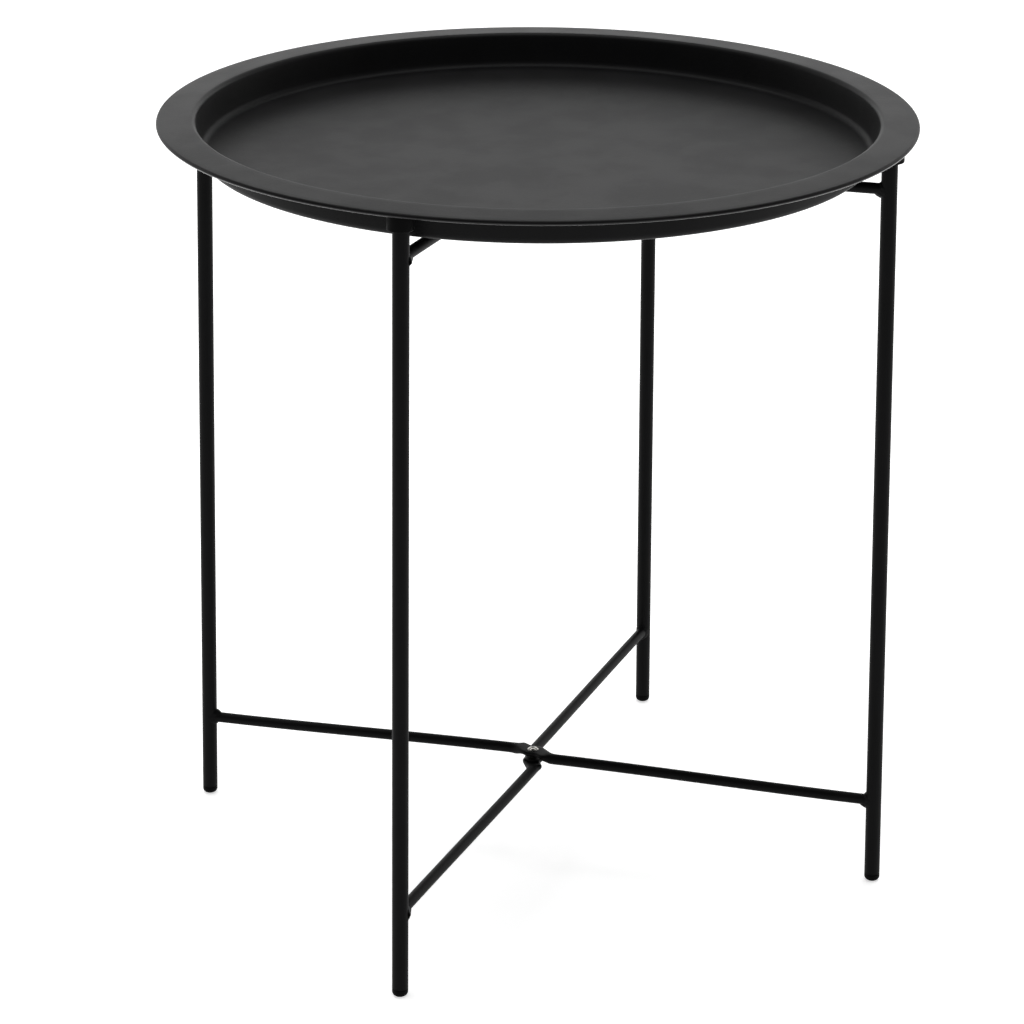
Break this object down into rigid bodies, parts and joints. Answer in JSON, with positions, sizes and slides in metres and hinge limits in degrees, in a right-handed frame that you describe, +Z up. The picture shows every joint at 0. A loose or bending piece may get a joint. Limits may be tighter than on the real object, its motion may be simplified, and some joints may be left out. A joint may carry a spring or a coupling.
{
  "type": "folding side table",
  "caption": "Round metal tray table: a lift-off dished tray on a scissoring stand of two welded tube frames riveted at their crossbars.",
  "frame": {"origin": "on the floor under the centre of the tray, at the bottom centre of the bounding box", "axes": "+Z up along the pivot axis, front towards -Y, +X to the right seen from the front"},
  "size_m": [0.47, 0.47, 0.4988],
  "materials": {
    "tray_coat": "satin",
    "frame_coat": "satin",
    "moulded_plastic": "matte",
    "spacer_plastic": "matte",
    "rivet_metal": "bright"
  },
  "bodies": {
    "under_frame": {"leg_front_left": "frame_coat", "foot_front_left": "moulded_plastic", "rim_rest_front_left": "moulded_plastic", "leg_rear_right": "frame_coat", "foot_rear_right": "moulded_plastic", "rim_rest_rear_right": "moulded_plastic", "lower_crossbar_under": "frame_coat", "welds_lower_under": "frame_coat", "upper_crossbar_under": "frame_coat", "welds_upper_under": "frame_coat", "lower_pivot_rivet": "rivet_metal", "lower_pivot_spacer": "spacer_plastic", "upper_pivot_rivet": "rivet_metal", "upper_pivot_spacer": "spacer_plastic"},
    "over_frame": {"leg_front_right": "frame_coat", "foot_front_right": "moulded_plastic", "rim_rest_front_right": "moulded_plastic", "leg_rear_left": "frame_coat", "foot_rear_left": "moulded_plastic", "rim_rest_rear_left": "moulded_plastic", "lower_crossbar_over": "frame_coat", "welds_lower_over": "frame_coat", "upper_crossbar_over": "frame_coat", "welds_upper_over": "frame_coat"},
    "tray": {"tray": "tray_coat"}
  },
  "joints": [
    {"name": "fold", "type": "hinge", "parent": "under_frame", "child": "over_frame", "pos_m": [0, 0, 0.262], "axis": [0, 0, 1], "range_deg": [0, 80.9]},
    {"name": "tray_lift", "type": "slide", "parent": "under_frame", "child": "tray", "axis": [0, 0, 1], "range_m": [0, 0.15]}
  ]
}
